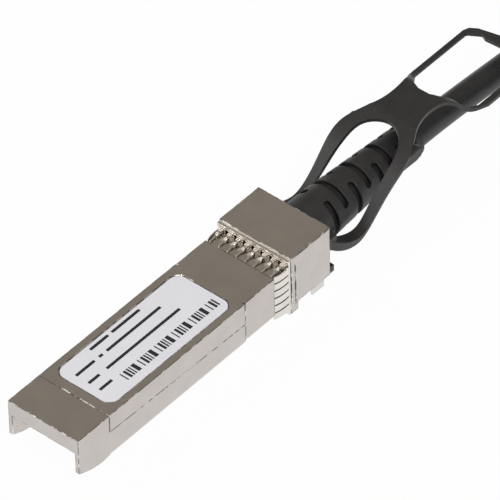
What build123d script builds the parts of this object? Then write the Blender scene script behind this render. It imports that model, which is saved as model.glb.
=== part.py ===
from build123d import *
import os
from math import pi, radians, tan

os.makedirs("parts", exist_ok=True)

# Passive copper cable with a small pluggable module on each end, in millimetres.
# Each plug is drawn in its own frame: X across, Y from the mating end to the cable, Z up from
# the underside of the body. The plugs and the cord are then placed in the object's frame.

# Clearances
fit_gap = 0.05
seam_gap = 0.04
bore_gap = 0.02
through = 1.0
big = 20.0

# Body of the module
body_width = 13.5
body_height = 8.5
body_length = 56.5
nose_end = 6.85
rear_block_length = 9.0
seat_length = 3.5
rear_cover_length = 6.7
stop_face = body_length - rear_block_length
collar_seat = stop_face - seat_length
cover_end = collar_seat - rear_cover_length
half_width = body_width / 2
rear_half_width = half_width - 0.07
seat_half_width = half_width - 0.5
seat_top = body_height - 0.1
seat_bottom = 0.45
block_half_width = half_width + 0.15
block_top = body_height + 1.65
block_bottom = 0.5
floor_drop = 1.0
wall = 0.8
top_wall = 1.2
floor_wall = 1.4
seam_front = 5.2
seam_rear = 4.3
bottom_radius = 1.2
rear_chamfer = 1.1
seat_radius = 0.4
mouth_height = 5.75
leg_wall = 0.65
open_floor_end = nose_end + 3.55

# Shadow lines in the shell's outer faces
joint_depth = 0.5
joint_width = 0.2

# Cable, its axis in the plug and the pieces round it
cable_diameter = 4.4
cable_radius = cable_diameter / 2
cable_axis = 4.7
boot_axis = 4.85
jacket_start = body_length - 5.6
ferrule_radius = cable_radius + 0.55
ferrule_end = jacket_start + 2.5
rear_wall = 1.1
flange_room_start = ferrule_end + 0.1
flange_room_end = body_length - rear_wall
boot_neck_radius = ferrule_radius + 0.65
boot_flange_radius = boot_neck_radius + 0.35
flange_gap = 0.1
boot_front_radius = cable_radius + 2.0
boot_rear_radius = cable_radius + 0.75
boot_taper_start = body_length + 5.5
boot_end = body_length + 27.0

# Closing screw
screw_y = cover_end - 3.3
screw_radius = 0.8
screw_length = 4.3
screw_head_radius = 1.4
screw_head_gap = 0.1
screw_seat = 0.8
screw_lift = 0.05
boss_radius = 1.6

# Paddle board
board_width = 9.2
board_thickness = 1.0
board_bottom = 2.25
board_start = 3.2
board_end = screw_y - boss_radius - 5.4
board_top = board_bottom + board_thickness
pad_pitch = 0.8
pads_per_side = 10
pad_end = 7.0
capacitor_y = board_end - 6.3
chip_y = (pad_end + capacitor_y) / 2
wire_radius = 0.45
wire_lanes = (2.35, 3.25)

# Latch and release
pivot_y = stop_face + 1.5
pivot_z = 1.3
pin_radius = 0.4
stop_length = 1.6
pocket_half_width = 2.2
pocket_start = stop_face - 6.0
pocket_end = stop_face + 2.6
pocket_top = 2.6
sheet = 0.35
slider_slot_top = 0.15
tongue_half_width = 1.5
ear_start = body_length + 0.5
ear_inner = block_half_width - 1.55
ear_outer = block_half_width - 0.45
ear_top = 1.15

# Where the rest of the cord lies, in the near plug's frame
near_lead_length = 56.5
hank_start = boot_end + near_lead_length
hank_run = 68.2
fold_outer = 17.8
fold_inner = fold_outer - cable_diameter
hank_lift = 0.5
hank_rim = 1.8
layer_low = cable_radius - floor_drop + hank_lift
layer_high = layer_low + cable_diameter
far_plug_x = cable_radius
far_boot_y = hank_start + 7.0
far_lift = layer_high + cable_radius + floor_drop
tie_thickness = 0.45
tie_width = 7.0
near_tie_y = hank_start + hank_run - 10.2
far_tie_y = hank_start + 10.0


def block(x_from, x_to, y_from, y_to, z_from, z_to):
    """A box between two corners."""
    centre = Pos((x_from + x_to) / 2, (y_from + y_to) / 2, (z_from + z_to) / 2)
    return centre * Box(x_to - x_from, y_to - y_from, z_to - z_from)


def across(half, y_from, y_to, z_from, z_to):
    """A box centred on the plug's middle plane."""
    return block(-half, half, y_from, y_to, z_from, z_to)


def rod_x(radius, x_from, x_to, y, z):
    return Pos((x_from + x_to) / 2, y, z) * Rot(0, 90, 0) * Cylinder(radius, x_to - x_from)


def rod_y(radius, y_from, y_to, z):
    return Pos(0, (y_from + y_to) / 2, z) * Rot(90, 0, 0) * Cylinder(radius, y_to - y_from)


def rod_z(radius, z_from, z_to, y):
    return Pos(0, y, (z_from + z_to) / 2) * Cylinder(radius, z_to - z_from)


def side_plate(lines, x_from, x_to):
    """A closed outline in (Y, Z), extruded across the plug."""
    face = Plane.YZ.offset(x_from) * make_face(lines)
    return extrude(face, x_to - x_from, dir=(1, 0, 0))


def plan_plate(lines, z_from, z_to):
    """A closed outline in (X, Y), extruded upwards."""
    face = Pos(0, 0, z_from) * make_face(lines)
    return extrude(face, z_to - z_from, dir=(0, 0, 1))


def mirrored(shape):
    return mirror(shape, about=Plane.YZ)


def lowest_long_edges(shape):
    return shape.edges().filter_by(Axis.Y).group_by(Axis.Z)[0]


# Die-cast shell: one outer envelope, split into a lower and an upper half


def envelope():
    leg_tip = 1.95
    leg_middle = 1.0
    leg_low = 0.7
    nose_side = [
        ThreePointArc((0, leg_tip), (nose_end / 3, leg_middle), (nose_end, leg_low)),
        Polyline((nose_end, leg_low), (nose_end, body_height), (0, body_height), (0, leg_tip)),
    ]
    nose = side_plate(nose_side, -half_width, half_width)
    middle = across(half_width, nose_end, cover_end, 0, body_height)
    middle = fillet(lowest_long_edges(middle), bottom_radius)
    rear = across(rear_half_width, cover_end, collar_seat, 0, body_height)
    rear = chamfer(lowest_long_edges(rear), rear_chamfer)
    seat = across(seat_half_width, collar_seat, stop_face, seat_bottom, seat_top)
    seat = fillet(lowest_long_edges(seat), seat_radius)
    end_block = across(block_half_width, stop_face, body_length, block_bottom, block_top)
    return nose + middle + rear + seat + end_block


def lower_region(gap):
    """What of the envelope belongs to the lower half; the gap makes room for the upper half."""
    nose = across(big, -through, nose_end + gap, -big, big)
    seam = Polyline(
        (nose_end, -big),
        (cover_end + gap, -big),
        (cover_end + gap, seam_rear + gap),
        (nose_end, seam_front + gap),
        close=True,
    )
    trough = side_plate(seam, -big, big)
    rear_half = seat_half_width - 0.4 + gap
    rear = across(rear_half, cover_end, body_length + through, -big, cable_axis + gap)
    return nose + trough + rear


def cavity():
    """The room inside both halves."""
    room_end = cover_end - 1.3
    wire_room_half = wire_lanes[1] + 1.25
    wire_room_bottom = 3.05
    wire_room_top = 7.0
    leg_half = half_width - leg_wall
    mouth = across(leg_half, -through, nose_end, -through, mouth_height)
    underside = across(leg_half, nose_end, open_floor_end, -through, floor_wall)
    room = across(half_width - wall, nose_end, room_end, floor_wall, body_height - top_wall)
    wire_room = across(wire_room_half, room_end, jacket_start, wire_room_bottom, wire_room_top)
    ferrule_room = rod_y(ferrule_radius + fit_gap, jacket_start - 0.1, flange_room_start, cable_axis)
    flange_room = rod_y(boot_flange_radius + flange_gap, flange_room_start, flange_room_end, boot_axis)
    neck_room = rod_y(boot_neck_radius + fit_gap, flange_room_end, body_length + through, boot_axis)
    return mouth + underside + room + wire_room + ferrule_room + flange_room + neck_room


def lower_shell():
    stop_end = stop_face + stop_length
    stop_inner = pocket_half_width + 0.25
    slot_roof = -slider_slot_top
    stop_flange = block(stop_inner, block_half_width, stop_face, stop_end, -floor_drop, block_bottom)
    bridge = across(stop_inner, stop_face, stop_end, -floor_drop, slot_roof)
    shell = envelope() & lower_region(0)
    shell = shell - cavity()
    shell = shell + stop_flange + mirrored(stop_flange) + bridge
    shell = shell - across(pocket_half_width, pocket_start, pocket_end, slot_roof, pocket_top)
    shell = shell - rod_x(pin_radius + fit_gap, -big, big, pivot_y, pivot_z)
    ledge_start = nose_end + 5.15
    ledge_inner = board_width / 2 - 0.7
    ledge = block(ledge_inner, half_width - wall, ledge_start, board_end - 0.2, floor_wall, board_bottom)
    shell = shell + ledge + mirrored(ledge)
    shell = shell - rod_z(screw_radius + screw_head_gap, -through, floor_wall + through, screw_y)
    shell = shell - rod_z(screw_head_radius + screw_head_gap, -through, screw_seat, screw_y)
    slot_half = tongue_half_width + 0.2
    slot_start = pocket_end - through
    slot_top = block_bottom + fit_gap
    return shell - across(slot_half, slot_start, body_length + through, slot_roof, slot_top)


def upper_shell():
    ceiling = body_height - top_wall
    shell = envelope() - lower_region(seam_gap)
    shell = shell - cavity()
    recess = plan_plate(label_outline(), body_height - recess_depth, body_height + through)
    shell = shell - recess
    boss = rod_z(boss_radius, floor_wall + fit_gap, ceiling, screw_y)
    thread_depth = screw_length + 1.3
    boss = boss - rod_z(screw_radius + bore_gap, 0, thread_depth, screw_y)
    shell = shell + boss
    rib_inner = board_width / 2 - 0.55
    rib_outer = board_width / 2 - 0.1
    rib_length = 2.0
    for rib_start in (nose_end + 6.15, board_end - 3.5):
        rib = block(rib_inner, rib_outer, rib_start, rib_start + rib_length, board_top, ceiling)
        shell = shell + rib + mirrored(rib)
    for groove in shell_grooves():
        shell = shell - groove - mirrored(groove)
    return shell - bend_channel()


def shell_grooves():
    """The joint lines of one side of the upper half."""
    cover_joint = block(
        half_width - joint_depth, big, cover_end - joint_width / 2, cover_end + joint_width / 2,
        -through, body_height + through,
    )
    nose_joint = block(
        half_width - joint_depth, big, nose_end - joint_width / 2, nose_end + joint_width / 2,
        seam_front, body_height - joint_width,
    )
    side_inner = block_half_width - joint_depth
    side_low = block_bottom + 0.4
    side_high = block_top - 1.8
    collar_joint = block(side_inner, big, stop_face, stop_face + joint_width, side_low, side_high)
    slit_start = stop_face + 0.95
    slit = block(side_inner, big, slit_start, slit_start + joint_width, side_low, side_high)
    rim = 0.12
    line_top = block_top - rim
    line_bottom = line_top - 0.8 * joint_width
    edge_line = block(side_inner, big, stop_face + rim, body_length - rim, line_bottom, line_top)
    return [cover_joint, nose_joint, collar_joint, slit, edge_line]


def bend_channel():
    """The groove in the stop face that clears the bends of the shield's fingers."""
    channel_half = seat_half_width - 0.05
    channel_depth = 0.8
    return across(channel_half, stop_face - fit_gap, stop_face + channel_depth, seat_top, finger_root_top)


# Label and its recess

label_start = nose_end + 1.8
label_end = cover_end - 1.15
label_half_width = half_width - 1.25
label_border = 0.1
label_thickness = 0.15
label_radius = 1.7
recess_depth = 0.25
recess_corner = 1.1


def label_outline():
    half = label_half_width
    corner = recess_corner
    return Polyline(
        (-half + corner, label_start),
        (half - corner, label_start),
        (half, label_start + corner),
        (half, label_end - corner),
        (half - corner, label_end),
        (-half + corner, label_end),
        (-half, label_end - corner),
        (-half, label_start + corner),
        close=True,
    )


def label():
    size_x = 2 * (label_half_width - label_border)
    size_y = label_end - label_start - 2 * label_border
    place = Pos(0, (label_start + label_end) / 2, body_height - recess_depth)
    face = place * RectangleRounded(size_x, size_y, label_radius)
    return extrude(face, label_thickness, dir=(0, 0, 1))


# Sheet-metal shield with its spring fingers

frame_start = stop_face - 0.4
frame_half_width = block_half_width - 0.05
frame_top = block_top - 0.25
finger_pitch = 1.7
top_fingers = 8
finger_root_top = seat_top + 0.8
side_pitch = 1.47
side_fingers = 6
side_finger_width = 1.2


def shield_spring():
    frame = across(frame_half_width, frame_start, stop_face, -floor_drop + fit_gap, frame_top)
    inner_half = seat_half_width + fit_gap
    inner_bottom = seat_bottom - fit_gap
    inner_top = seat_top + fit_gap
    frame = frame - across(inner_half, frame_start - through, stop_face + through, inner_bottom, inner_top)
    slot_half = pocket_half_width + 0.15
    frame = frame - across(slot_half, frame_start - through, stop_face + through, -big, seat_bottom)
    window_width = 0.72
    for index in range(top_fingers - 1):
        centre = (index - (top_fingers - 2) / 2) * finger_pitch
        frame = frame - block(
            centre - window_width / 2, centre + window_width / 2, frame_start - through, stop_face + through,
            seat_top, finger_root_top,
        )
    hem = 0.2
    for hem_top in (frame_top, frame_top - 0.45):
        frame = frame + across(frame_half_width, frame_start - hem, frame_start, hem_top - hem, hem_top)
    return frame + top_comb() + side_combs() + low_fingers()


def top_comb():
    """Fingers that run forward from the collar, bent down onto the shell's top."""
    root = frame_start + fit_gap
    tip = collar_seat + 0.15
    knuckle = stop_face - 1.8
    rise = seat_top + bore_gap
    profile = Polyline(
        (root, rise + 0.75), (knuckle + 0.3, rise + 0.68), (knuckle - 0.2, rise + 0.4), (tip, rise + 0.2),
        (tip, rise), (knuckle - 0.2, rise + 0.2), (knuckle + 0.2, rise + 0.44), (root, rise + 0.5),
        close=True,
    )
    sheet_form = side_plate(profile, -frame_half_width, frame_half_width)
    root_half = 0.4
    tail_half = 0.2
    tip_half = 0.12
    neck_start = root - 0.5
    neck_end = root - 1.1
    comb = None
    for index in range(top_fingers):
        centre = (index - (top_fingers - 1) / 2) * finger_pitch
        outline = Polyline(
            (centre - root_half, root), (centre + root_half, root), (centre + root_half, neck_start),
            (centre + tail_half, neck_end), (centre + tip_half, tip), (centre - tip_half, tip),
            (centre - tail_half, neck_end), (centre - root_half, neck_start), close=True,
        )
        finger = plan_plate(outline, 0, big)
        comb = finger if comb is None else comb + finger
    return sheet_form & comb


def side_combs():
    root = frame_start + fit_gap
    tip = collar_seat + 0.15
    side = seat_half_width
    profile = Polyline(
        (side + 0.57, root), (side + 0.6, tip + 2.0), (side + 0.5, tip + 1.0), (side + 0.22, tip),
        (side + 0.06, tip), (side + 0.28, tip + 1.0), (side + 0.38, tip + 2.0), (side + 0.3, root),
        close=True,
    )
    combs = None
    for index in range(side_fingers):
        height = block_bottom + 0.1 + index * side_pitch
        half = side_finger_width / 2
        finger = plan_plate(profile, height - half, height + half)
        finger = finger + mirrored(finger)
        combs = finger if combs is None else combs + finger
    return combs


def low_fingers():
    root = frame_start + fit_gap
    tip = collar_seat + 0.15
    low_strip = Polyline(
        (root, -0.75), (tip + 1.9, -0.7), (tip + 0.8, -0.4), (tip, 0.1), (tip, 0.3), (tip + 0.8, -0.17),
        (tip + 1.9, -0.48), (root, -0.5), close=True,
    )
    width = 1.15
    fingers = None
    for start in (seat_half_width - 3.6, seat_half_width - 1.9):
        finger = side_plate(low_strip, start, start + width)
        finger = finger + mirrored(finger)
        fingers = finger if fingers is None else fingers + finger
    return fingers


# Board with its contacts and parts


def circuit_board():
    board = across(board_width / 2, board_start, board_end, board_bottom, board_top)
    front_edges = board.edges().filter_by(Axis.X).group_by(Axis.Y)[0]
    board = chamfer(front_edges, 0.3 * board_thickness)
    notch_inner = board_width / 2 - 0.85
    notch_start = pad_end + 2.6
    notch_length = 1.2
    notch = block(
        notch_inner, big, notch_start, notch_start + notch_length, board_bottom - through, board_top + through
    )
    return board - notch - mirrored(notch)


def contact_pads():
    pads = []
    pad_width = 0.5
    pad_thickness = 0.06
    signal_start = board_start + 0.9
    ground_start = board_start + 0.5
    for index in range(pads_per_side):
        x = (index - (pads_per_side - 1) / 2) * pad_pitch
        start = ground_start if index % 3 else signal_start
        left = x - pad_width / 2
        right = x + pad_width / 2
        pads.append(block(left, right, start, pad_end, board_top, board_top + pad_thickness))
        pads.append(block(left, right, start, pad_end, board_bottom - pad_thickness, board_bottom))
    return Compound(children=pads)


def memory_chip():
    half_body = 1.5
    half_length = 1.7
    lead_reach = 2.3
    lead_half_width = 0.12
    lead_pitch = 0.65
    lead_top = board_top + 0.25
    leads = 4
    chip = across(half_body, chip_y - half_length, chip_y + half_length, board_top + 0.1, board_top + 1.0)
    for index in range(leads):
        y = chip_y + (index - (leads - 1) / 2) * lead_pitch
        chip = chip + across(lead_reach, y - lead_half_width, y + lead_half_width, board_top, lead_top)
    return chip


def coupling_capacitors():
    width = 0.5
    length = 1.0
    height = 0.5
    parts = []
    for lane in wire_lanes:
        for x in (lane, -lane):
            parts.append(block(
                x - width / 2, x + width / 2, capacitor_y - length / 2, capacitor_y + length / 2,
                board_top, board_top + height,
            ))
    return Compound(children=parts)


def wire_pair(side):
    """Two insulated wires from the cable's end to the board."""
    wires = []
    land_height = board_top + wire_radius + fit_gap
    starts = (0.6, 1.6)
    for start, lane in zip(starts, wire_lanes):
        route = FilletPolyline(
            (side * start, jacket_start, cable_axis),
            (side * start, jacket_start - 1.7, cable_axis),
            (side * lane, jacket_start - 5.9, cable_axis),
            (side * lane, board_end + 4.5, cable_axis),
            (side * lane, board_end + 1.6, land_height),
            (side * lane, board_end - 3.0, land_height),
            radius=1.5,
        )
        section = Plane(origin=(side * start, jacket_start, cable_axis), z_dir=(0, -1, 0))
        wires.append(sweep(section * Circle(wire_radius), path=route))
    return Compound(children=wires)


def crimp_ferrule():
    crimp_depth = 0.15
    crimp_width = 0.3
    ring = rod_y(ferrule_radius, jacket_start, ferrule_end, cable_axis)
    for place in (0.32, 0.68):
        groove = jacket_start + place * (ferrule_end - jacket_start)
        band_start = groove - crimp_width / 2
        band = rod_y(ferrule_radius + through, band_start, band_start + crimp_width, cable_axis)
        floor = rod_y(ferrule_radius - crimp_depth, jacket_start, ferrule_end, cable_axis)
        ring = ring - (band - floor)
    return ring - rod_y(cable_radius + bore_gap, jacket_start - through, ferrule_end + through, cable_axis)


def cable_end():
    return rod_y(cable_radius, jacket_start, boot_end, cable_axis)


# Moulded boot


def boot_radius(y):
    """Outer radius of the boot's sleeve."""
    if y <= boot_taper_start:
        return boot_front_radius
    share = (y - boot_taper_start) / (boot_end - boot_taper_start)
    return boot_front_radius + (boot_rear_radius - boot_front_radius) * share


def boot():
    flange_start = flange_room_start + fit_gap
    flange_end = flange_room_end - fit_gap
    sleeve_start = body_length + fit_gap
    outline = Polyline(
        (0, flange_start),
        (boot_flange_radius, flange_start),
        (boot_flange_radius, flange_end),
        (boot_neck_radius, flange_end),
        (boot_neck_radius, sleeve_start),
        (boot_front_radius, sleeve_start),
        (boot_front_radius, boot_taper_start),
        (boot_rear_radius, boot_end),
        (0, boot_end),
        close=True,
    )
    sleeve = revolve(make_face(outline), Axis.Y)
    groove_half_pitch = 2.85
    first_groove = body_length + 5.1
    groove_count = 8
    for index in range(groove_count):
        y = first_groove + index * groove_half_pitch
        groove = flexing_groove(boot_radius(y), y)
        turn = 0 if index % 2 else 90
        sleeve = sleeve - Rot(0, turn, 0) * groove - Rot(0, turn + 180, 0) * groove
    bore = rod_y(cable_radius + bore_gap, jacket_start, boot_end + through, cable_axis)
    return Pos(0, 0, boot_axis) * sleeve - bore


def flexing_groove(radius, y):
    """A groove of even depth over the top of the sleeve, with round ends."""
    groove_width = 1.2
    groove_depth = 0.75
    least_wall = 0.5
    end_slope = 24
    floor = max(radius - groove_depth, cable_radius + least_wall)
    ring = rod_y(radius + through, y - groove_width / 2, y + groove_width / 2, 0)
    ring = ring - rod_y(floor, y - groove_width, y + groove_width, 0)
    above = block(-big, big, y - groove_width, y + groove_width, 0, big)
    groove = ring & (Rot(0, end_slope, 0) * above) & (Rot(0, -end_slope, 0) * above)
    corners = groove.edges().filter_by(GeomType.LINE).filter_by(Axis.Y, reverse=True)
    return fillet(corners, 0.45 * groove_width)


# Moulded pull tab, drawn with Y from the rear face of the body

strap = 0.65
plate_z = 12.0
loop_z = 8.6
tab_end = 52.5


def tab_band():
    """The strap's bends, seen from the side and as wide as the whole tab."""
    upper = [
        Spline(
            (0.5, 6.7), (2.5, 5.3), (5.0, 4.0), (7.5, 3.6), (10.0, 4.75), (12.8, 7.0), (15.9, 9.3),
            (18.9, 10.7), (23.3, plate_z),
        ),
        Line((23.3, plate_z), (30.2, plate_z)),
        Spline((30.2, plate_z), (33.2, 10.4), (36.2, loop_z), tangents=((1, 0), (1, 0))),
        Line((36.2, loop_z), (tab_end, loop_z)),
    ]
    lower = [
        Line((tab_end, loop_z), (tab_end, loop_z - strap)),
        Line((tab_end, loop_z - strap), (35.9, loop_z - strap)),
        Spline((35.9, loop_z - strap), (32.8, 9.8), (29.8, plate_z - strap), tangents=((-1, 0), (-1, 0))),
        Line((29.8, plate_z - strap), (23.3, plate_z - strap)),
        Spline(
            (23.3, plate_z - strap), (18.9, 9.95), (15.5, 8.2), (12.8, 6.1), (9.8, 3.95), (7.0, 2.75),
            (4.25, 3.0), (1.9, 4.0), (0.5, 5.0),
        ),
        Line((0.5, 5.0), (0.5, 6.7)),
    ]
    return side_plate(upper + lower, -big, big)


def tab_arms():
    """Both arms and the plate that joins them, seen from above."""
    right = [
        Spline(
            (6.75, 0.5), (7.2, 2.5), (7.35, 5.5), (7.1, 9.0), (6.85, 13.0), (6.65, 18.9), (4.15, 24.0),
            (3.4, 28.5), (4.9, 32.3),
        ),
        Polyline((4.9, 32.3), (0, 32.3), (0, 0.5), (6.75, 0.5)),
    ]
    left = [
        Spline(
            (-6.5, 0.5), (-6.45, 5.5), (-6.3, 9.0), (-6.5, 13.5), (-6.65, 18.9), (-4.5, 23.6),
            (-3.85, 28.0), (-4.5, 32.3),
        ),
        Polyline((-4.5, 32.3), (0, 32.3), (0, 0.5), (-6.5, 0.5)),
    ]
    return plan_plate(right, 0, big) + plan_plate(left, 0, big)


def tab_window():
    """The opening between the arms, over the boot."""
    outline = [
        Spline(
            (4.7, -0.5), (5.2, 4.5), (5.35, 8.5), (5.1, 11.5), (4.9, 16.5), (3.5, 20.2), (0, 22.2),
            (-1.9, 21.7), (-3.6, 20.3), (-4.4, 16.9), (-4.7, 11.7), (-4.7, 4.5), (-4.7, -0.5),
        ),
        Line((-4.7, -0.5), (4.7, -0.5)),
    ]
    return plan_plate(outline, -through, big)


def finger_loop():
    """The ring at the tab's end, seen from above."""
    outer = Polyline(
        (-4.4, 32.0), (-5.5, 33.3), (-6.4, 34.7), (-6.65, 35.8), (-6.65, 48.0), (-6.3, 49.0),
        (-5.1, 49.8), (0, 51.0), (5.2, 50.5), (6.65, 49.5), (6.85, 39.1), (6.85, 37.6), (6.3, 36.1),
        (5.7, 34.7), (4.7, 32.0),
        close=True,
    )
    return plan_plate(outer, 0, big)


def finger_hole():
    """The opening of the ring, which reaches into the plate."""
    hole = Polyline(
        (-5.9, 35.6), (-3.5, 32.0), (-2.5, 31.2), (-1.2, 30.6), (0.9, 30.6), (2.2, 31.2), (3.4, 32.2),
        (5.9, 36.3), (5.9, 49.1), (4.4, 49.8), (3.0, 49.1), (-2.9, 48.7), (-3.8, 49.2), (-5.9, 47.9),
        close=True,
    )
    hole_radius = 0.55
    opening = plan_plate(hole, -through, big)
    return fillet(opening.edges().filter_by(Axis.Z), hole_radius)


def tab_shoulder():
    """The thickened bend where an arm meets the plate."""
    outline = Polyline(
        (16.1, 8.5), (20.8, 8.4), (21.9, 8.7), (22.5, 9.4), (22.3, 10.2), (21.4, 10.8), (19.1, 10.6),
        (16.9, 9.5), close=True,
    )
    shoulder = side_plate(outline, half_width - 1.45, half_width - 0.15)
    shoulder_round = 0.35
    outer_edges = shoulder.edges().filter_by(Axis.X, reverse=True).group_by(Axis.X)[-1]
    return fillet(outer_edges, shoulder_round)


def tab_root():
    """The arm's foot behind the body, moulded round the slider's ear."""
    root_inner = boot_front_radius + 0.25
    root_outer = block_half_width - 0.15
    root_start = 0.1
    web_outer = root_inner + 0.95
    arm_end = 1.8
    foot_end = 1.1
    foot_top = 1.65
    arm_bottom = 5.05
    arm_top = 7.25
    foot = block(root_inner, root_outer, root_start, foot_end, sheet + 0.1, foot_top)
    web = block(root_inner, web_outer, root_start, foot_end, foot_top, arm_bottom)
    arm = block(root_inner, root_outer, root_start, arm_end, arm_bottom, arm_top)
    ear_room = block(
        ear_inner - fit_gap, ear_outer + fit_gap, ear_start - body_length - fit_gap,
        ear_start - body_length + sheet + fit_gap, 0, ear_top + fit_gap,
    )
    return foot + web + arm - ear_room


def pull_tab():
    outline = tab_arms() + finger_loop() - finger_hole() - tab_window()
    tab = tab_band() & outline
    shoulder = tab_shoulder()
    root = tab_root()
    tab = tab + shoulder + mirrored(shoulder) + root + mirrored(root)
    return Pos(0, body_length, 0) * tab


# Release slider, latch, pin and spring


def release_slider():
    tongue_start = stop_face - 1.6
    plate_start = body_length - 4.0
    plate_end = body_length - 1.3
    plate_half = block_half_width - 0.1
    flange_bottom = fit_gap + 0.05 - floor_drop
    tongue = across(tongue_half_width, tongue_start, plate_start + 0.5, 0, sheet)
    wedge_rise = 0.2
    wedge_side = Polyline(
        (tongue_start, sheet), (tongue_start + 0.6, sheet + wedge_rise),
        (tongue_start + 1.0, sheet + wedge_rise), (tongue_start + 1.4, sheet), close=True,
    )
    wedge = side_plate(wedge_side, 0.1 - tongue_half_width, tongue_half_width - 0.1)
    plate = across(plate_half, plate_start, plate_end, 0, sheet)
    flange = block(plate_half - sheet, plate_half, plate_start, plate_end, flange_bottom, sheet)
    arm = block(ear_inner, ear_outer, plate_end, ear_start + sheet, 0, sheet)
    ear = block(ear_inner, ear_outer, ear_start, ear_start + sheet, 0, ear_top)
    slider = tongue + wedge + plate
    for shape in (flange, arm, ear):
        slider = slider + shape + mirrored(shape)
    return slider


def latch_rocker():
    bar_half_width = 1.9
    eye_half_width = 1.2
    eye_radius = 0.75
    bar_side = Polyline(
        (-7.0, 1.6), (-7.0, 0.55), (-6.7, 0.0), (-5.1, -0.45), (-4.0, -0.45), (-4.0, 0.65),
        (-0.7, 0.65), (0, 0.55), (0, 2.05), (-1.1, 1.6), close=True,
    )
    bar = Pos(0, pivot_y, 0) * side_plate(bar_side, -bar_half_width, bar_half_width)
    eye = rod_x(eye_radius, -eye_half_width, eye_half_width, pivot_y, pivot_z)
    side_relief = block(eye_half_width, big, pivot_y - 1.0, pivot_y + big, -big, big)
    rocker = bar - side_relief - mirrored(side_relief) + eye
    return rocker - rod_x(pin_radius + fit_gap, -big, big, pivot_y, pivot_z)


def latch_pin():
    pin_half_length = seat_half_width - 0.45
    return rod_x(pin_radius, -pin_half_length, pin_half_length, pivot_y, pivot_z)


def latch_spring():
    coil_wire = 0.13
    coil_pitch = 0.22
    coil_radius = 0.62
    first_coil = 1.42
    turns = 3
    leg_width = 0.2
    coils = []
    for side in (-1, 1):
        spring = None
        for index in range(turns):
            x = side * (first_coil + index * coil_pitch)
            turn = Pos(x, pivot_y, pivot_z) * Rot(0, 90, 0) * Torus(coil_radius, coil_wire)
            spring = turn if spring is None else spring + turn
        leg_x = side * (first_coil + (turns - 1) * coil_pitch)
        leg_inner = leg_x - leg_width / 2
        leg_start = pivot_y + coil_radius - leg_width / 2
        leg_end = leg_start + leg_width
        leg = block(leg_inner, leg_inner + leg_width, leg_start, leg_end, pivot_z, pocket_top)
        coils.append(spring + leg)
    return Compound(children=coils)


def closing_screw():
    head_top = screw_seat - bore_gap
    recess_half = 0.8
    recess_slot = 0.15
    recess_top = screw_lift + 0.35
    head = rod_z(screw_head_radius, screw_lift, head_top, screw_y)
    shank = rod_z(screw_radius, head_top - 0.1, head_top - 0.1 + screw_length, screw_y)
    blade = across(recess_half, screw_y - recess_slot, screw_y + recess_slot, 0, recess_top)
    cross = across(recess_slot, screw_y - recess_half, screw_y + recess_half, 0, recess_top)
    return head + shank - blade - cross


# Cord between the plugs

near_route = [
    (0, boot_end, cable_axis),
    (0, boot_end + 6.5, cable_axis),
    (0, boot_end + 19.5, 3.8),
    (0, boot_end + 40.5, 2.0),
    (0, hank_start + 2, layer_low),
]

last_fold_x = 2 * fold_outer
last_fold_radius = (last_fold_x - far_plug_x) / 2
last_fold_centre = (last_fold_x + far_plug_x) / 2
last_fold_offset = 6.9
far_axis = cable_axis + far_lift
far_climb = (far_axis - layer_high) / 3
far_route = [
    (last_fold_x, hank_start + last_fold_offset, layer_high),
    (last_fold_x, hank_start - last_fold_offset, layer_high + 0.9),
    (last_fold_centre + last_fold_offset, hank_start - last_fold_radius, layer_high + far_climb + 0.5),
    (last_fold_centre - last_fold_offset, hank_start - last_fold_radius, far_axis - far_climb + 0.2),
    (far_plug_x, hank_start - last_fold_offset, far_axis),
    (far_plug_x, far_boot_y, far_axis),
]


def corner_radii(route):
    """As large an arc as the two runs allow at each corner of a route."""
    radii = []
    for before, corner, after in zip(route, route[1:], route[2:]):
        run_in = Vector(*corner) - Vector(*before)
        run_out = Vector(*after) - Vector(*corner)
        turn = radians(run_in.get_angle(run_out))
        radii.append(0.45 * min(run_in.length, run_out.length) / tan(turn / 2))
    return radii


def tube(route):
    """A round tube along straight runs joined by tangent arcs."""
    radii = corner_radii(route)
    path = FilletPolyline(*route, radius=radii)
    direction = Vector(*route[1]) - Vector(*route[0])
    section = Plane(origin=route[0], z_dir=direction) * Circle(cable_radius)
    solid = sweep(section, path=path)
    section_times_length = pi * cable_radius**2 * path.length
    print("radii", [round(value, 1) for value in radii], "run length", round(path.length, 1))
    print("volume", round(solid.volume, 1), "section times length", round(section_times_length, 1))
    return solid, path.length


def hank():
    """The folded length as one solid of its outer shape, two strands wide and two high."""
    middle = (fold_outer + fold_inner) / 2
    half = cable_diameter
    centre = Pos(fold_outer, hank_start + hank_run / 2, layer_low - cable_radius)
    outer = Rot(0, 0, 90) * SlotCenterToCenter(hank_run, 2 * (middle + half))
    inner = Rot(0, 0, 90) * SlotCenterToCenter(hank_run, 2 * (middle - half))
    ring = extrude(centre * (outer - inner), 2 * cable_diameter, dir=(0, 0, 1))
    rims = ring.edges().group_by(Axis.Z)
    return fillet(rims[0] + rims[-1], hank_rim)


def hank_length():
    """Four turns: eight runs, four folds at the far end and three at the near end."""
    far_folds = 2 * pi * (fold_outer + fold_inner)
    near_folds = pi * (fold_outer + fold_inner) + pi * fold_inner
    already_in_tubes = (near_route[-1][1] - hank_start) + (far_route[0][1] - hank_start)
    return 8 * hank_run + far_folds + near_folds - already_in_tubes


def tie(centre_x, y_from):
    """A hook-and-loop strap round the strands of one side of the hank."""
    inner_half = cable_diameter + fit_gap
    outer_half = inner_half + tie_thickness
    centre_z = layer_low + cable_radius
    place = Plane(origin=(centre_x, y_from, centre_z), x_dir=(1, 0, 0), z_dir=(0, 1, 0))
    outer = place * RectangleRounded(2 * outer_half, 2 * outer_half, hank_rim + tie_thickness)
    inner = place * RectangleRounded(2 * inner_half, 2 * inner_half, hank_rim)
    return extrude(outer - inner, tie_width, dir=(0, 1, 0))


# Placing and writing

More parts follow.
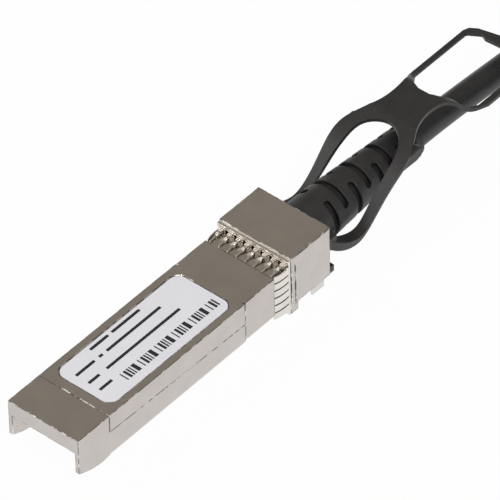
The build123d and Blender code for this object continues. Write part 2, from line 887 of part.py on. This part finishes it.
plug_pieces = {
    "lower_shell": lower_shell(),
    "upper_shell": upper_shell(),
    "shield_spring": shield_spring(),
    "label": label(),
    "circuit_board": circuit_board(),
    "contact_pads": contact_pads(),
    "memory_chip": memory_chip(),
    "coupling_capacitors": coupling_capacitors(),
    "transmit_wires": wire_pair(1),
    "receive_wires": wire_pair(-1),
    "crimp_ferrule": crimp_ferrule(),
    "cable_end": cable_end(),
    "boot": boot(),
    "pull_tab": pull_tab(),
    "release_slider": release_slider(),
    "latch_rocker": latch_rocker(),
    "latch_pin": latch_pin(),
    "latch_spring": latch_spring(),
    "closing_screw": closing_screw(),
}

object_length = plug_pieces["pull_tab"].bounding_box().max.Y
near_place = Pos(0, -object_length / 2, floor_drop)
far_place = near_place * Pos(far_plug_x, far_boot_y + boot_end, far_lift) * Rot(0, 0, 180)
print("object length", round(object_length, 3))

for name, piece in plug_pieces.items():
    print(name, "solids", len(piece.solids()), "volume", round(piece.volume, 2))
    export_step(near_place * piece, "parts/" + name + ".step")
    export_step(far_place * piece, "parts/far_" + name + ".step")

folded = hank()
near_tube, near_length = tube(near_route)
far_tube, far_length = tube(far_route)
print("hank", round(hank_length(), 1), "whole cord", round(near_length + hank_length() + far_length, 1))
export_step(near_place * (near_tube - folded), "parts/cable.step")
export_step(near_place * folded, "parts/cable_hank.step")
export_step(near_place * (far_tube - folded), "parts/cable_far_lead.step")
export_step(near_place * tie(far_plug_x, near_tie_y), "parts/tie_near_side.step")
export_step(near_place * tie(last_fold_x - cable_radius, far_tie_y), "parts/tie_far_side.step")
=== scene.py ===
from math import cos, pi, radians, sin

import bpy
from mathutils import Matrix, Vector


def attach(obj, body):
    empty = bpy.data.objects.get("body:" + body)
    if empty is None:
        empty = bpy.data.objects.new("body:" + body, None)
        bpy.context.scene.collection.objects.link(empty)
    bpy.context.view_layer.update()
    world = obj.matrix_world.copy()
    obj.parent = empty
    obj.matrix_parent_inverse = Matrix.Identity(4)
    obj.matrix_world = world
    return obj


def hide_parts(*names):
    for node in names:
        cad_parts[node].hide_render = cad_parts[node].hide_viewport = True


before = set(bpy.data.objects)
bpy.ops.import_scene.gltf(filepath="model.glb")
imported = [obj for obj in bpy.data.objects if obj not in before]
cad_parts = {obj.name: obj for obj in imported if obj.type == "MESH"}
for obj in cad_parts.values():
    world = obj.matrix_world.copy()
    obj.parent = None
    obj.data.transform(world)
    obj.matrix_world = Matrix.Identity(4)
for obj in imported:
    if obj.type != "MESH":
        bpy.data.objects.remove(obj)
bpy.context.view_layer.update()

scene = bpy.context.scene
scene.view_settings.view_transform = "Standard"
bpy.ops.object.select_all(action="DESELECT")

# The camera looks down on the plug's top, its nose and its right side, from far away through a
# long lens, so that the plug runs up the picture from the lower left.

camera_data = bpy.data.cameras.new("camera")
camera_data.sensor_width = 36.0
camera_data.lens = 534.57
camera_data.clip_end = 20.0
camera = bpy.data.objects.new("camera", camera_data)
camera.location = (0.526555, -0.609662, 0.764071)
camera.rotation_euler = (radians(46.6772), radians(0.8859), radians(40.3271))
scene.collection.objects.link(camera)
scene.camera = camera

# The cord: a round black jacket, extruded over two screened pairs. It leaves the near boot, sinks
# to the table, is folded four times into a flat hank, and rises on the last fold to the far plug.

# These places are in millimetres, measured from the near plug's nose and underside.
plug_middle = 53.75
floor_drop = 1.0
cord_diameter = 4.4
boot_end = 83.5
cable_axis = 4.7
far_x = 2.2
far_lift = 9.3
far_boot_y = 147.0

# The hank: where its folds are centred, how wide they are and how high its two layers lie.
hank_start = 140.0
hank_run = 68.2
far_end_y = hank_start + hank_run
straight_from = hank_start + 14
straight_to = far_end_y - 12
fold_outer = 17.8
fold_inner = fold_outer - cord_diameter
wide_turn_y = hank_start - 6
wide_turn_depth = -15.6
inner_turn_y = hank_start + 3
far_side = 2 * fold_outer
layer_low = 1.7
layer_high = layer_low + cord_diameter


def metres(x, y, z):
    """A place in the near plug's own millimetres, as one in the object's frame."""
    return (x / 1000, (y - plug_middle) / 1000, (z + floor_drop) / 1000)


def fold(x_from, x_to, centre_y, depth, z_from, z_to, steps=10):
    """Points round one fold, from one run to the other, with a smooth change of height."""
    points = []
    reach = 1 / cos(pi / (2 * steps))
    for step in range(steps):
        turn = pi * (step + 0.5) / steps
        x = (x_from + x_to) / 2 + reach * (x_from - x_to) / 2 * cos(turn)
        z = z_from + (z_to - z_from) * (1 - cos(turn)) / 2
        points.append((x, centre_y + reach * depth * sin(turn), z))
    return points


route = [
    (0, boot_end, cable_axis),
    (0, 90.0, cable_axis),
    (0, 103.0, 3.8),
    (0, 124.0, 2.0),
    (0, hank_start + 2, layer_low),
]
near_turns = [
    # x of the run that arrives, x of the next run, centre, depth, height before and after
    (far_side, cord_diameter, wide_turn_y, wide_turn_depth, layer_low, layer_low),
    (far_side - cord_diameter, cord_diameter, inner_turn_y, -fold_inner, layer_low, layer_high),
    (far_side - cord_diameter, 0.0, wide_turn_y, wide_turn_depth, layer_high, layer_high),
]
far_turns = [
    # x of the run that arrives, x of the next run, radius, height
    (0.0, far_side, fold_outer, layer_low),
    (cord_diameter, far_side - cord_diameter, fold_inner, layer_low),
    (cord_diameter, far_side - cord_diameter, fold_inner, layer_high),
    (0.0, far_side, fold_outer, layer_high),
]
for turn_number, (x_up, x_down, radius, height) in enumerate(far_turns):
    route.append((x_up, straight_to, height))
    route += fold(x_up, x_down, far_end_y, radius, height, height)
    route.append((x_down, straight_to, height))
    route.append((x_down, straight_from, height))
    if turn_number < len(near_turns):
        near_turn = near_turns[turn_number]
        next_x = near_turn[1]
        next_height = near_turn[5]
        route += fold(*near_turn)
        route.append((next_x, straight_from, next_height))

# The last turn climbs from the upper layer to the far boot, round four soft corners.
last_middle = (far_side + far_x) / 2
last_radius = (far_side - far_x) / 2
far_axis = cable_axis + far_lift
far_climb = (far_axis - layer_high) / 3
corner = 6.9
route += [
    (far_side, hank_start + corner, layer_high),
    (far_side, hank_start - corner, layer_high + 0.9),
    (last_middle + corner, hank_start - last_radius, layer_high + far_climb + 0.5),
    (last_middle - corner, hank_start - last_radius, far_axis - far_climb + 0.2),
    (far_x, hank_start - corner, far_axis),
    (far_x, far_boot_y, far_axis),
]
cord_curve = bpy.data.curves.new("cord", "CURVE")
cord_curve.dimensions = "3D"
cord_spline = cord_curve.splines.new("NURBS")
cord_spline.points.add(len(route) - 1)
for point, place in zip(cord_spline.points, route):
    point.co = (*metres(*place), 1.0)
cord_spline.order_u = 3
cord_spline.use_endpoint_u = True
cord_spline.resolution_u = 8
cord_curve.bevel_depth = cord_diameter / 2 / 1000
cord_curve.bevel_resolution = 6
cord_curve.use_fill_caps = True
cord = bpy.data.objects.new("cord", cord_curve)
scene.collection.objects.link(cord)


def noise_material(name, colour, metallic, roughness, grain_scale, grain_height, colour_spread):
    """A surface with its own grain: colour and roughness drift, and a fine relief."""
    drift_size = 12
    gloss_spread = 0.12
    relief_strength = 0.6
    material = bpy.data.materials.new(name)
    material.use_nodes = True
    nodes, links = material.node_tree.nodes, material.node_tree.links
    shader = nodes["Principled BSDF"]
    place = nodes.new("ShaderNodeTexCoord")
    drift = nodes.new("ShaderNodeTexNoise")
    drift.inputs["Scale"].default_value = grain_scale / drift_size
    drift.inputs["Detail"].default_value = 6.0
    links.new(place.outputs["Object"], drift.inputs["Vector"])
    tint = nodes.new("ShaderNodeValToRGB")
    low = [max(0.0, c * (1 - colour_spread)) for c in colour]
    high = [min(1.0, c * (1 + colour_spread)) for c in colour]
    tint.color_ramp.elements[0].position = 0.3
    tint.color_ramp.elements[1].position = 0.7
    tint.color_ramp.elements[0].color = (*low, 1)
    tint.color_ramp.elements[1].color = (*high, 1)
    links.new(drift.outputs["Fac"], tint.inputs["Fac"])
    links.new(tint.outputs["Color"], shader.inputs["Base Color"])
    gloss = nodes.new("ShaderNodeMapRange")
    gloss.inputs["To Min"].default_value = roughness * (1 - gloss_spread)
    gloss.inputs["To Max"].default_value = roughness * (1 + gloss_spread)
    links.new(drift.outputs["Fac"], gloss.inputs["Value"])
    links.new(gloss.outputs["Result"], shader.inputs["Roughness"])
    grain = nodes.new("ShaderNodeTexNoise")
    grain.inputs["Scale"].default_value = grain_scale
    grain.inputs["Detail"].default_value = 3.0
    links.new(place.outputs["Object"], grain.inputs["Vector"])
    relief = nodes.new("ShaderNodeBump")
    relief.inputs["Distance"].default_value = grain_height
    relief.inputs["Strength"].default_value = relief_strength
    links.new(grain.outputs["Fac"], relief.inputs["Height"])
    links.new(relief.outputs["Normal"], shader.inputs["Normal"])
    shader.inputs["Metallic"].default_value = metallic
    return material


jacket = noise_material(
    "jacket", colour=(0.022, 0.022, 0.024), metallic=0.0, roughness=0.42,
    grain_scale=5000, grain_height=0.00002, colour_spread=0.25,
)
cord.data.materials.append(jacket)
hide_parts("cable", "cable_hank", "cable_far_lead")
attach(cord, "plug")

# The cord's straight end in each plug: the same black jacket, gripped by the crimp ferrule and
# covered by the boot.


def dress(node, material):
    """Gives a piece of each plug its finish."""
    for name in (node, "far_" + node):
        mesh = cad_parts[name].data
        mesh.materials.clear()
        mesh.materials.append(material)


dress("cable_end", jacket)

# The die-cast shell: two zinc halves, nickel plated to a warm grey. The plating is satin, with
# edges that are slightly rounded by the casting, and a painted dark reflection and painted
# highlights along them.

die_cast = noise_material(
    "die_cast", colour=(0.555, 0.515, 0.49), metallic=1.0, roughness=0.22,
    grain_scale=3500, grain_height=0.000003, colour_spread=0.04,
)


def soften_edges(material, radius):
    """Rounds every sharp edge in the shading, as casting and plating do."""
    nodes, links = material.node_tree.nodes, material.node_tree.links
    rounding = nodes.new("ShaderNodeBevel")
    rounding.samples = 8
    rounding.inputs["Radius"].default_value = radius
    relief = nodes["Bump"]
    links.new(rounding.outputs["Normal"], relief.inputs["Normal"])


def paint_edge_reflections(material, strength, patch_scale):
    """Paints a dark reflection and bright highlights in patches along the softened edges."""
    rim_begins = 0.985
    rim_full = 0.90
    # A painted dark reflection and a painted highlight, laid in patches along the edges' rims.
    painted_dark_reflection = (0.03, 0.028, 0.026, 1)
    painted_highlight = (0.95, 0.93, 0.90, 1)
    nodes, links = material.node_tree.nodes, material.node_tree.links
    shader = nodes["Principled BSDF"]
    colour = shader.inputs["Base Color"].links[0].from_socket
    surface = nodes.new("ShaderNodeNewGeometry")
    bend = nodes.new("ShaderNodeVectorMath")
    bend.operation = "DOT_PRODUCT"
    links.new(nodes["Bevel"].outputs["Normal"], bend.inputs[0])
    links.new(surface.outputs["True Normal"], bend.inputs[1])
    rim = nodes.new("ShaderNodeMapRange")
    rim.inputs["From Min"].default_value = rim_begins
    rim.inputs["From Max"].default_value = rim_full
    rim.inputs["To Max"].default_value = strength
    links.new(bend.outputs["Value"], rim.inputs["Value"])
    glint_patches = nodes.new("ShaderNodeTexNoise")
    glint_patches.inputs["Scale"].default_value = patch_scale
    glint_patches.inputs["Detail"].default_value = 2.0
    links.new(nodes["Texture Coordinate"].outputs["Object"], glint_patches.inputs["Vector"])
    edge_reflection_ramp = nodes.new("ShaderNodeValToRGB")
    edge_reflection_ramp.color_ramp.elements[0].position = 0.48
    edge_reflection_ramp.color_ramp.elements[0].color = painted_dark_reflection
    edge_reflection_ramp.color_ramp.elements[1].position = 0.58
    edge_reflection_ramp.color_ramp.elements[1].color = painted_highlight
    links.new(glint_patches.outputs["Fac"], edge_reflection_ramp.inputs["Fac"])
    edge_reflection_mix = nodes.new("ShaderNodeMix")
    edge_reflection_mix.data_type = "RGBA"
    links.new(rim.outputs["Result"], edge_reflection_mix.inputs["Factor"])
    links.new(colour, edge_reflection_mix.inputs["A"])
    links.new(edge_reflection_ramp.outputs["Color"], edge_reflection_mix.inputs["B"])
    links.new(edge_reflection_mix.outputs["Result"], shader.inputs["Base Color"])


soften_edges(die_cast, radius=0.00028)
# The dark and bright patches along the shell's edges are painted reflection and painted
# highlight.
paint_edge_reflections(die_cast, strength=0.8, patch_scale=700)
dress("lower_shell", die_cast)
dress("upper_shell", die_cast)

# The shield: one pressed frame of bright tinned sheet, with its fingers bent forwards and out
# from a hemmed collar.

shield_metal = noise_material(
    "shield_metal", colour=(0.74, 0.71, 0.66), metallic=1.0, roughness=0.16,
    grain_scale=6000, grain_height=0.000002, colour_spread=0.06,
)
soften_edges(shield_metal, radius=0.00010)
dress("shield_spring", shield_metal)

# The label: a white film with rounded corners, stuck in the recess of the cover. It is printed
# in black with plain rules and a row of plain bars.

label_film = noise_material(
    "label_film", colour=(0.89, 0.90, 0.98), metallic=0.0, roughness=0.45,
    grain_scale=2500, grain_height=0.000002, colour_spread=0.015,
)
dress("label", label_film)
ink = noise_material(
    "ink", colour=(0.018, 0.018, 0.022), metallic=0.0, roughness=0.6,
    grain_scale=4000, grain_height=0.000001, colour_spread=0.25,
)
label_top = 8.4
ink_thickness = 0.012
ink_spread = 0.4 * ink_thickness
rule_half = 0.26
rules = [
    # x of the rule, and where each stretch of it starts and ends along the plug
    (-4.55, ((15.6, 19.6), (20.4, 26.6))),
    (-2.55, ((10.2, 14.3), (15.3, 16.1), (17.0, 29.0))),
    (-0.1, ((10.2, 12.6), (14.2, 30.5))),
    (2.05, ((10.2, 12.9),)),
]
stripes = []
for rule_x, stretches in rules:
    for stretch_start, stretch_end in stretches:
        stripes.append((rule_x - rule_half, rule_x + rule_half, stretch_start, stretch_end))
bar_left = 2.15
bar_right = 3.9
bars_end = 35.0
bar_widths = (0.22, 0.46, 0.30, 0.22, 0.70)
bar_y = 14.4
bar_number = 0
while bar_y < bars_end:
    bar_width = bar_widths[bar_number % len(bar_widths)]
    bar_gap = bar_widths[(bar_number * 2 + 1) % len(bar_widths)]
    stripes.append((bar_left, bar_right, bar_y, bar_y + bar_width))
    bar_y += bar_width + bar_gap
    bar_number += 1


def print_on(name, turned):
    """All rules and bars of one label, as one thin layer of ink."""
    bpy.ops.object.select_all(action="DESELECT")
    fields = []
    for x_from, x_to, y_from, y_to in stripes:
        middle = ((x_from + x_to) / 2, (y_from + y_to) / 2, label_top + ink_thickness / 2)
        if turned:
            middle = (far_x - middle[0], far_boot_y + boot_end - middle[1], middle[2] + far_lift)
        bpy.ops.mesh.primitive_cube_add(size=0.001, location=metres(*middle))
        field = bpy.context.object
        field.scale = (x_to - x_from, y_to - y_from, ink_thickness)
        fields.append(field)
    for field in fields:
        field.select_set(True)
    bpy.context.view_layer.objects.active = fields[0]
    bpy.ops.object.join()
    layer = bpy.context.object
    layer.name = name
    bpy.ops.object.transform_apply(location=True, rotation=True, scale=True)
    spread = layer.modifiers.new("spread", "BEVEL")
    spread.width = ink_spread / 1000
    spread.segments = 1
    bpy.ops.object.modifier_apply(modifier="spread")
    layer.data.materials.append(ink)
    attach(layer, "plug")
    layer.select_set(False)


print_on("print", turned=False)
print_on("far_print", turned=True)

# The paddle board: green solder mask over copper and glass cloth, cut to a card edge that the
# host's connector grips.

board_green = noise_material(
    "board_green", colour=(0.02, 0.16, 0.05), metallic=0.0, roughness=0.35,
    grain_scale=2500, grain_height=0.000003, colour_spread=0.2,
)
dress("circuit_board", board_green)

# The contact pads: copper plated with nickel and then gold, in two rows on both faces of the
# card edge, where the host's contacts slide on.

pad_gold = noise_material(
    "pad_gold", colour=(0.90, 0.62, 0.22), metallic=1.0, roughness=0.25,
    grain_scale=4000, grain_height=0.000001, colour_spread=0.05,
)
dress("contact_pads", pad_gold)

# What is soldered to the board: the identification memory, moulded in black, and four tan
# ceramic capacitors in the signal lines.

chip_black = noise_material(
    "chip_black", colour=(0.02, 0.02, 0.02), metallic=0.0, roughness=0.5,
    grain_scale=9000, grain_height=0.000006, colour_spread=0.2,
)
dress("memory_chip", chip_black)
capacitor_tan = noise_material(
    "capacitor_tan", colour=(0.42, 0.30, 0.18), metallic=0.0, roughness=0.4,
    grain_scale=5000, grain_height=0.000002, colour_spread=0.1,
)
dress("coupling_capacitors", capacitor_tan)

# The two wire pairs, one to send and one to receive: copper in a glossy white skin, fanned out
# from the cable's end and soldered to the board's lands.

wire_white = noise_material(
    "wire_white", colour=(0.75, 0.76, 0.80), metallic=0.0, roughness=0.35,
    grain_scale=4000, grain_height=0.000002, colour_spread=0.05,
)
dress("transmit_wires", wire_white)
dress("receive_wires", wire_white)

# The crimp ferrule: a ring of tinned brass round the cable's end, pressed on its screen in two
# bands and seated between the halves of the shell.

ferrule_tin = noise_material(
    "ferrule_tin", colour=(0.70, 0.66, 0.56), metallic=1.0, roughness=0.35,
    grain_scale=5000, grain_height=0.000003, colour_spread=0.06,
)
dress("crimp_ferrule", ferrule_tin)

# The boot: matte black rubber, moulded over the jacket at the rear of the shell. It tapers to
# the cable, and staggered grooves round it let it bend.

boot_rubber = noise_material(
    "boot_rubber", colour=(0.027, 0.026, 0.027), metallic=0.0, roughness=0.52,
    grain_scale=4500, grain_height=0.00003, colour_spread=0.22,
)
soften_edges(boot_rubber, radius=0.00025)


def paint_hollow_shade(material, reach):
    """Paints shade into grooves and corners: base colour and specular level drop where ambient
    occlusion finds them hollow.
    """
    hollow_full = 0.30
    hollow_begins = 0.85
    darkest_painted_shade = 0.35
    full_sheen = 0.5
    nodes, links = material.node_tree.nodes, material.node_tree.links
    shader = nodes["Principled BSDF"]
    colour = shader.inputs["Base Color"].links[0].from_socket
    # Ambient occlusion drives the painted shade in colour and specular level.
    occlusion_for_shade = nodes.new("ShaderNodeAmbientOcclusion")
    occlusion_for_shade.inputs["Distance"].default_value = reach
    share = nodes.new("ShaderNodeMapRange")
    share.inputs["From Min"].default_value = hollow_full
    share.inputs["From Max"].default_value = hollow_begins
    share.inputs["To Min"].default_value = darkest_painted_shade
    links.new(occlusion_for_shade.outputs["AO"], share.inputs["Value"])
    shaded = nodes.new("ShaderNodeVectorMath")
    shaded.operation = "SCALE"
    links.new(colour, shaded.inputs[0])
    links.new(share.outputs["Result"], shaded.inputs["Scale"])
    links.new(shaded.outputs["Vector"], shader.inputs["Base Color"])
    shaded_sheen = nodes.new("ShaderNodeMapRange")
    shaded_sheen.inputs["To Max"].default_value = full_sheen
    links.new(share.outputs["Result"], shaded_sheen.inputs["Value"])
    links.new(shaded_sheen.outputs["Result"], shader.inputs["Specular IOR Level"])


# The boot's grooves and corners get painted shade.
paint_hollow_shade(boot_rubber, reach=0.0016)
dress("boot", boot_rubber)

# The pull tab: one thin moulding of charcoal nylon, with two arms beside the boot, a waist and a
# finger loop. Its feet are moulded round the ears of the release slider.

tab_plastic = noise_material(
    "tab_plastic", colour=(0.026, 0.025, 0.026), metallic=0.0, roughness=0.45,
    grain_scale=5000, grain_height=0.00003, colour_spread=0.18,
)
soften_edges(tab_plastic, radius=0.00015)
dress("pull_tab", tab_plastic)

# The release slider: a bright pressed sheet under the shell. The tab draws it back by its two
# ears, and its low wedge lifts the latch's tail.

slider_steel = noise_material(
    "slider_steel", colour=(0.66, 0.64, 0.62), metallic=1.0, roughness=0.22,
    grain_scale=5000, grain_height=0.000002, colour_spread=0.06,
)
dress("release_slider", slider_steel)

# The latch: a cast steel rocker with its wedge-shaped boss, on a ground pin across the lower half
# of the shell, between two small torsion springs that are wound round the pin.

latch_steel = noise_material(
    "latch_steel", colour=(0.60, 0.58, 0.56), metallic=1.0, roughness=0.32,
    grain_scale=3800, grain_height=0.000004, colour_spread=0.08,
)
pin_steel = noise_material(
    "pin_steel", colour=(0.68, 0.68, 0.68), metallic=1.0, roughness=0.18,
    grain_scale=8000, grain_height=0.000001, colour_spread=0.04,
)
spring_steel = noise_material(
    "spring_steel", colour=(0.50, 0.49, 0.47), metallic=1.0, roughness=0.24,
    grain_scale=9000, grain_height=0.000001, colour_spread=0.08,
)
soften_edges(latch_steel, radius=0.00012)
dress("latch_rocker", latch_steel)
dress("latch_pin", pin_steel)
dress("latch_spring", spring_steel)

# The closing screw: zinc-plated steel with a cross recess, sunk in the underside. It is driven
# through the lower half into the upper one.

screw_steel = noise_material(
    "screw_steel", colour=(0.62, 0.63, 0.64), metallic=1.0, roughness=0.26,
    grain_scale=6000, grain_height=0.000002, colour_spread=0.1,
)
soften_edges(screw_steel, radius=0.00010)
dress("closing_screw", screw_steel)

# The ties: two black hook-and-loop straps round the strands of the hank, each drawn tight and
# closed over its own end, which lies on the top and the outer side.

strap_thickness = 0.45
strap_width = 7.0
strap_inner = cord_diameter + 0.05
strap_outer = strap_inner + strap_thickness
strands_z = layer_low + cord_diameter / 2
tail_thickness = 0.5
tail_corner = 2.2
tail_inset = 0.3
tail_start = 1.6
tail_edge = 0.12


def strap_material(name, colour, rib_pitch):
    """Woven tape: ribs across it, threads along it, and a fine nap of loops."""
    band_pitch = 0.314
    material = noise_material(
        name, colour=colour, metallic=0.0, roughness=0.85,
        grain_scale=4200, grain_height=0.00006, colour_spread=0.35,
    )
    nodes, links = material.node_tree.nodes, material.node_tree.links
    place = nodes["Texture Coordinate"]
    height = nodes["Bump"].inputs["Height"]
    nap = height.links[0].from_socket
    for direction, share in (("Y", 0.9), ("Z", 0.5)):
        ribs = nodes.new("ShaderNodeTexWave")
        ribs.bands_direction = direction
        ribs.inputs["Scale"].default_value = band_pitch / rib_pitch
        ribs.inputs["Distortion"].default_value = 0.6
        links.new(place.outputs["Object"], ribs.inputs["Vector"])
        added = nodes.new("ShaderNodeMath")
        added.operation = "MULTIPLY_ADD"
        added.inputs[1].default_value = share
        links.new(ribs.outputs["Fac"], added.inputs[0])
        links.new(nap, added.inputs[2])
        nap = added.outputs[0]
    links.new(nap, height)
    return material


strap_cloth = strap_material("strap_cloth", colour=(0.020, 0.020, 0.022), rib_pitch=0.00055)
tail_cloth = strap_material("tail_cloth", colour=(0.026, 0.026, 0.028), rib_pitch=0.00045)
for name in ("tie_near_side", "tie_far_side"):
    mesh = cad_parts[name].data
    mesh.materials.clear()
    mesh.materials.append(strap_cloth)


def strap_tail(name, centre_x, start_y, side, drop):
    """The strap's free end: over the top, round one corner and down the side."""
    bpy.ops.object.select_all(action="DESELECT")
    bpy.ops.mesh.primitive_cube_add(
        size=0.001, location=metres(centre_x, start_y + strap_width / 2, strands_z)
    )
    tail = bpy.context.object
    tail.name = name
    tail.scale = (2 * strap_outer, strap_width - tail_inset, 2 * strap_outer)
    bpy.ops.object.transform_apply(location=True, rotation=True, scale=True)
    bpy.ops.object.mode_set(mode="EDIT")
    bpy.ops.mesh.select_all(action="DESELECT")
    bpy.ops.object.mode_set(mode="OBJECT")
    touching = 1e-6
    corner_x = (centre_x + side * strap_outer) / 1000
    corner_z = (strands_z + strap_outer + floor_drop) / 1000
    for edge in tail.data.edges:
        ends = [tail.data.vertices[index].co for index in edge.vertices]
        at_side = all(abs(end.x - corner_x) < touching for end in ends)
        at_top = all(abs(end.z - corner_z) < touching for end in ends)
        edge.select = at_side and at_top
    bpy.ops.object.mode_set(mode="EDIT")
    bpy.ops.mesh.select_mode(type="EDGE")
    bpy.ops.mesh.bevel(offset=tail_corner / 1000, segments=8)
    bpy.ops.mesh.select_mode(type="FACE")
    bpy.ops.mesh.select_all(action="DESELECT")
    bpy.ops.object.mode_set(mode="OBJECT")
    for polygon in tail.data.polygons:
        normal = polygon.normal
        polygon.select = abs(normal.y) > 0.5 or normal.z < -0.5 or normal.x * side < -0.5
    bpy.ops.object.mode_set(mode="EDIT")
    bpy.ops.mesh.delete(type="FACE")
    bpy.ops.object.mode_set(mode="OBJECT")
    for vertex in tail.data.vertices:
        if vertex.co.z < (strands_z + floor_drop) / 1000:
            vertex.co.z += drop / 1000
        if (vertex.co.x - centre_x / 1000) * side < 0:
            vertex.co.x += side * tail_start / 1000
    thick = tail.modifiers.new("thick", "SOLIDIFY")
    thick.thickness = tail_thickness / 1000
    thick.offset = 1.0
    bpy.ops.object.modifier_apply(modifier="thick")
    soft = tail.modifiers.new("soft", "BEVEL")
    soft.width = tail_edge / 1000
    soft.segments = 2
    soft.limit_method = "ANGLE"
    bpy.ops.object.modifier_apply(modifier="soft")
    bpy.ops.object.shade_smooth_by_angle(angle=radians(35))
    tail.data.materials.append(tail_cloth)
    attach(tail, "plug")
    tail.select_set(False)


strap_tail("tail_near_side", centre_x=far_x, start_y=198.0, side=-1, drop=3.2)
strap_tail("tail_far_side", centre_x=far_side - far_x, start_y=150.0, side=1, drop=2.4)

# The table: a plain white floor that fills the view. The camera and mirror-like metal see it
# as white, and other surfaces get its light back as from paper.

white_share = 0.97
bpy.ops.mesh.primitive_plane_add(size=8.0, location=(0, 0, 0))
floor = bpy.context.object
floor.name = "floor"
floor_white = bpy.data.materials.new("floor_white")
floor_white.use_nodes = True
nodes, links = floor_white.node_tree.nodes, floor_white.node_tree.links
nodes.clear()
paper = nodes.new("ShaderNodeBsdfDiffuse")
paper.inputs["Color"].default_value = (0.8, 0.8, 0.8, 1)
glow = nodes.new("ShaderNodeEmission")
glow.inputs["Color"].default_value = (1, 1, 1, 1)
glow.inputs["Strength"].default_value = 1.0
rays = nodes.new("ShaderNodeLightPath")
seen = nodes.new("ShaderNodeMath")
seen.operation = "MAXIMUM"
links.new(rays.outputs["Is Camera Ray"], seen.inputs[0])
links.new(rays.outputs["Is Glossy Ray"], seen.inputs[1])
share = nodes.new("ShaderNodeMath")
share.operation = "MULTIPLY"
share.inputs[1].default_value = white_share
links.new(seen.outputs[0], share.inputs[0])
blend = nodes.new("ShaderNodeMixShader")
links.new(share.outputs[0], blend.inputs["Fac"])
links.new(paper.outputs[0], blend.inputs[1])
links.new(glow.outputs[0], blend.inputs[2])
out = nodes.new("ShaderNodeOutputMaterial")
links.new(blend.outputs[0], out.inputs["Surface"])
floor.data.materials.append(floor_white)

# The light: a studio that is warm grey overhead, darker lower down and bright along the
# horizon, and two large soft lamps.

horizon = (1.1, 1.08, 1.05)
overhead = (0.46, 0.44, 0.41)
bands_between = [
    # height of the band, from 0 at the horizon to 1 overhead, and its colour
    (0.10, (1.0, 0.98, 0.95)),
    (0.15, (0.12, 0.115, 0.11)),
    (0.42, (0.16, 0.15, 0.14)),
    (0.55, (0.34, 0.315, 0.27)),
    (0.85, (0.36, 0.335, 0.29)),
]
world = bpy.data.worlds.new("studio")
world.use_nodes = True
nodes, links = world.node_tree.nodes, world.node_tree.links
view = nodes.new("ShaderNodeTexCoord")
parts = nodes.new("ShaderNodeSeparateXYZ")
links.new(view.outputs["Generated"], parts.inputs["Vector"])
studio = nodes.new("ShaderNodeValToRGB")
ramp = studio.color_ramp
ramp.elements[0].position = 0.0
ramp.elements[0].color = (*horizon, 1)
ramp.elements[1].position = 1.0
ramp.elements[1].color = (*overhead, 1)
for position, colour in bands_between:
    band = ramp.elements.new(position)
    band.color = (*colour, 1)
links.new(parts.outputs["Z"], studio.inputs["Fac"])
links.new(studio.outputs["Color"], nodes["Background"].inputs["Color"])
nodes["Background"].inputs["Strength"].default_value = 1.0
scene.world = world


def lamp(name, place, power, size):
    """A square soft lamp that faces the middle of the plug."""
    plug_heart = Vector((0, 0, 0.005))
    data = bpy.data.lights.new(name, "AREA")
    data.energy = power
    data.size = size
    obj = bpy.data.objects.new(name, data)
    obj.location = place
    aim = plug_heart - Vector(place)
    obj.rotation_euler = aim.to_track_quat("-Z", "Y").to_euler()
    scene.collection.objects.link(obj)


lamp("key_lamp", place=(0.9, -0.5, 1.1), power=10.0, size=0.7)
lamp("fill_lamp", place=(-0.9, -0.6, 0.8), power=6.0, size=0.8)
